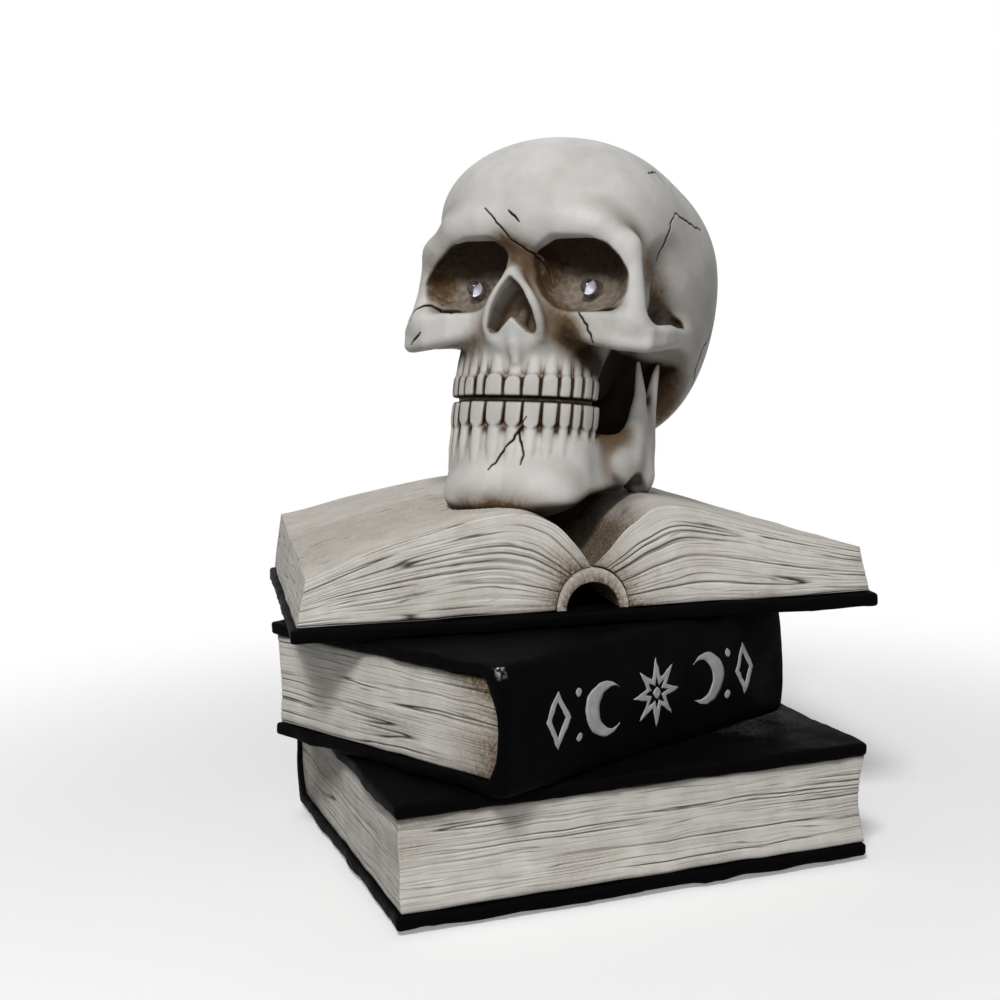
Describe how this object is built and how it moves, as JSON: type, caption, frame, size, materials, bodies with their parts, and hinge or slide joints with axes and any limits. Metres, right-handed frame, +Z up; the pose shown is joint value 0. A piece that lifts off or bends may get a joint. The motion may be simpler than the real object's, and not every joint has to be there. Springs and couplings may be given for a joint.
{
  "type": "halloween skull decoration",
  "caption": "Light-up skull ornament: a resin skull with lamps in its eye sockets rests its jaw on an open book, stacked on closed books with a battery tray underneath.",
  "frame": {"origin": "middle of the felt under the bottom book", "axes": "+Z up, -Y towards the front, where the fore edge of the bottom book is, +X along that edge to the right"},
  "size_m": [0.2, 0.1767, 0.2281],
  "materials": {
    "bone": "painted cast resin with a brown wash, satin",
    "cover": "painted cast resin, black, satin",
    "pages": "painted cast resin, cream with a brown wash",
    "lens": "clear moulded lamp body",
    "sleeve": "heat-shrink sleeve",
    "wire": "insulated wire",
    "plastic": "black moulded plastic",
    "cell": "plain printed wrap",
    "steel": "plated spring steel",
    "felt": "pressed felt"
  },
  "bodies": {
    "ornament": {"felt_base": "felt", "bottom_book_cover": "cover", "bottom_book_pages": "pages", "middle_book_cover": "cover", "middle_book_pages": "pages", "open_book_cover": "cover", "open_book_left_pages": "pages", "open_book_right_pages": "pages", "open_book_page_arch": "pages", "skull": "bone", "lower_jaw": "bone", "left_eye_led": "lens", "right_eye_led": "lens", "left_led_sleeve": "sleeve", "right_led_sleeve": "sleeve", "left_eye_wire": "wire", "right_eye_wire": "wire", "main_wire": "wire", "battery_box": "plastic", "front_cell": "cell", "rear_cell": "cell", "bridge_contact": "steel", "positive_contact": "steel", "negative_contact": "steel", "switch_body": "steel"},
    "door": {"battery_door": "plastic"},
    "slider": {"switch_slider": "plastic"}
  },
  "joints": [
    {"name": "door_hinge", "type": "hinge", "parent": "ornament", "child": "door", "pos_m": [0.0445, 0.03, 0.0015], "axis": [0, -1, 0], "range_deg": [0, 80]},
    {"name": "switch_slide", "type": "slide", "parent": "ornament", "child": "slider", "axis": [1, 0, 0], "range_m": [0, 0.003]}
  ]
}
